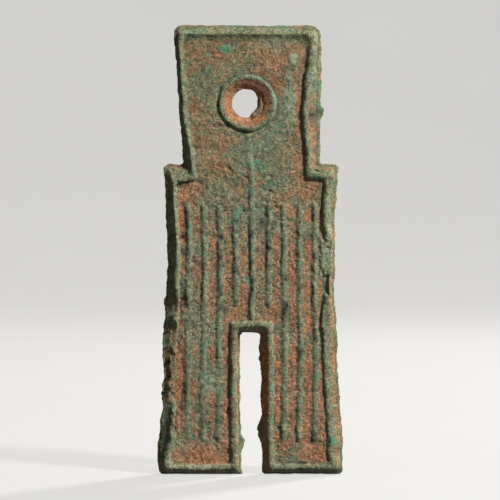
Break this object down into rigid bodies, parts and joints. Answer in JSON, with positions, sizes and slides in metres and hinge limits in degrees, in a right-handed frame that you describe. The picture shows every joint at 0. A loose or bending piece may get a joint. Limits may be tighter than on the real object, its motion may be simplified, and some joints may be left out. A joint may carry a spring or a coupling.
{
  "type": "spade money",
  "caption": "Flat cast bronze coin in the shape of a spade, with a broad head, a collared string hole, square shoulders, raised rims and feet, used as money and hung on a cord.",
  "frame": {"origin": "midway between the ends of the feet, at their level, on the parting plane of the casting", "axes": "+Z along the length towards the top of the head, +Y through the thickness towards the back, +X across towards the right seen from the front; the front faces -Y"},
  "size_m": [0.024, 0.0028, 0.0578],
  "materials": {
    "patinated_bronze": "matte green and dark patina over cast bronze",
    "burial_earth": "dry granular earth"
  },
  "bodies": {
    "root": {"front_half": "patinated_bronze", "back_half": "patinated_bronze", "parting_flash": "patinated_bronze", "front_border_rim": "patinated_bronze", "back_border_rim": "patinated_bronze", "front_hole_collar": "patinated_bronze", "back_hole_collar": "patinated_bronze", "front_centre_line": "patinated_bronze", "back_centre_line": "patinated_bronze", "front_left_ridge_1": "patinated_bronze", "front_left_ridge_2": "patinated_bronze", "front_left_ridge_3": "patinated_bronze", "front_left_ridge_4": "patinated_bronze", "front_right_ridge_1": "patinated_bronze", "front_right_ridge_2": "patinated_bronze", "front_right_ridge_3": "patinated_bronze", "front_right_ridge_4": "patinated_bronze", "front_burial_earth": "burial_earth", "back_burial_earth": "burial_earth"}
  },
  "joints": []
}
